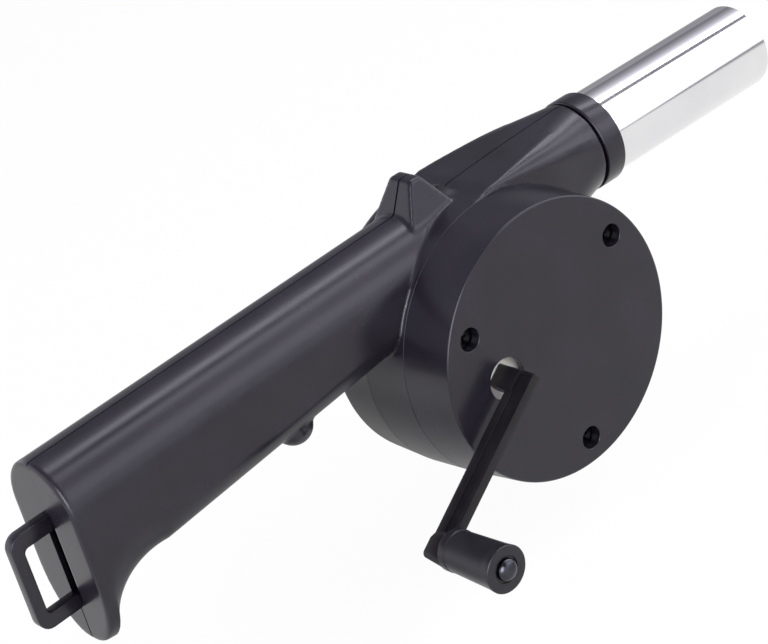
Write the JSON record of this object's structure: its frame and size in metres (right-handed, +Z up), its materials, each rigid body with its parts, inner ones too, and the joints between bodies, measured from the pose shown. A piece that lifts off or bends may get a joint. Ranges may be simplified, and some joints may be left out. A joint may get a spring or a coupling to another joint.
{
  "type": "manual barbecue blower",
  "caption": "Hand-cranked barbecue blower with a round gear drum, hollow handle, hanging loop, polished metal nozzle and a crank with a turning grip.",
  "frame": {"origin": "centre of the nozzle's mouth, on the plane where the two shells meet", "axes": "+X out of the nozzle along its axis, -Y towards the crank side along the crank and fan axes, +Z up from the drum to the duct"},
  "size_m": [0.2911, 0.086, 0.0973],
  "materials": {
    "black_abs": "satin black moulded ABS",
    "black_pp": "semi-gloss black moulded polypropylene",
    "white_pom": "white moulded acetal",
    "polished_stainless": "mirror-polished stainless sheet",
    "zinc_steel": "zinc-plated steel",
    "bronze": "sintered bronze",
    "brass": "cut brass"
  },
  "bodies": {
    "housing": {"front_shell": "black_abs", "rear_shell": "black_abs", "gear_cover": "black_abs", "nozzle_tube": "polished_stainless", "nozzle_collar": "black_abs", "hanging_loop": "black_abs", "cover_screws": "zinc_steel", "shell_screws": "zinc_steel", "shaft_bushes": "bronze", "drive_pin": "zinc_steel", "idler_pin": "zinc_steel", "idler_washers": "zinc_steel", "drive_washer": "zinc_steel"},
    "crank": {"drive_gear": "white_pom", "crank_arm": "black_pp", "grip_pin": "zinc_steel", "grip_washer": "zinc_steel"},
    "grip": {"crank_grip": "black_pp"},
    "idler": {"idler_gear": "white_pom"},
    "fan": {"fan_shaft": "zinc_steel", "fan_pinion": "brass", "impeller": "black_pp", "impeller_nut": "zinc_steel", "shaft_clips": "zinc_steel"}
  },
  "joints": [
    {"name": "crank_turn", "type": "hinge", "parent": "housing", "child": "crank", "pos_m": [-0.1464, -0.03, -0.033], "axis": [0, 1, 0], "continuous": true},
    {"name": "grip_spin", "type": "hinge", "parent": "crank", "child": "grip", "pos_m": [-0.18751, -0.056, -0.06233], "axis": [0, 1, 0], "continuous": true},
    {"name": "idler_spin", "type": "hinge", "parent": "housing", "child": "idler", "pos_m": [-0.13215, -0.024, -0.04519], "axis": [0, 1, 0], "continuous": true},
    {"name": "fan_spin", "type": "hinge", "parent": "housing", "child": "fan", "pos_m": [-0.125, 0, -0.032], "axis": [0, 1, 0], "continuous": true}
  ],
  "couplings": [
    {"joint": "idler_spin", "follows": "crank_turn", "ratio": -4},
    {"joint": "fan_spin", "follows": "crank_turn", "ratio": 12}
  ]
}
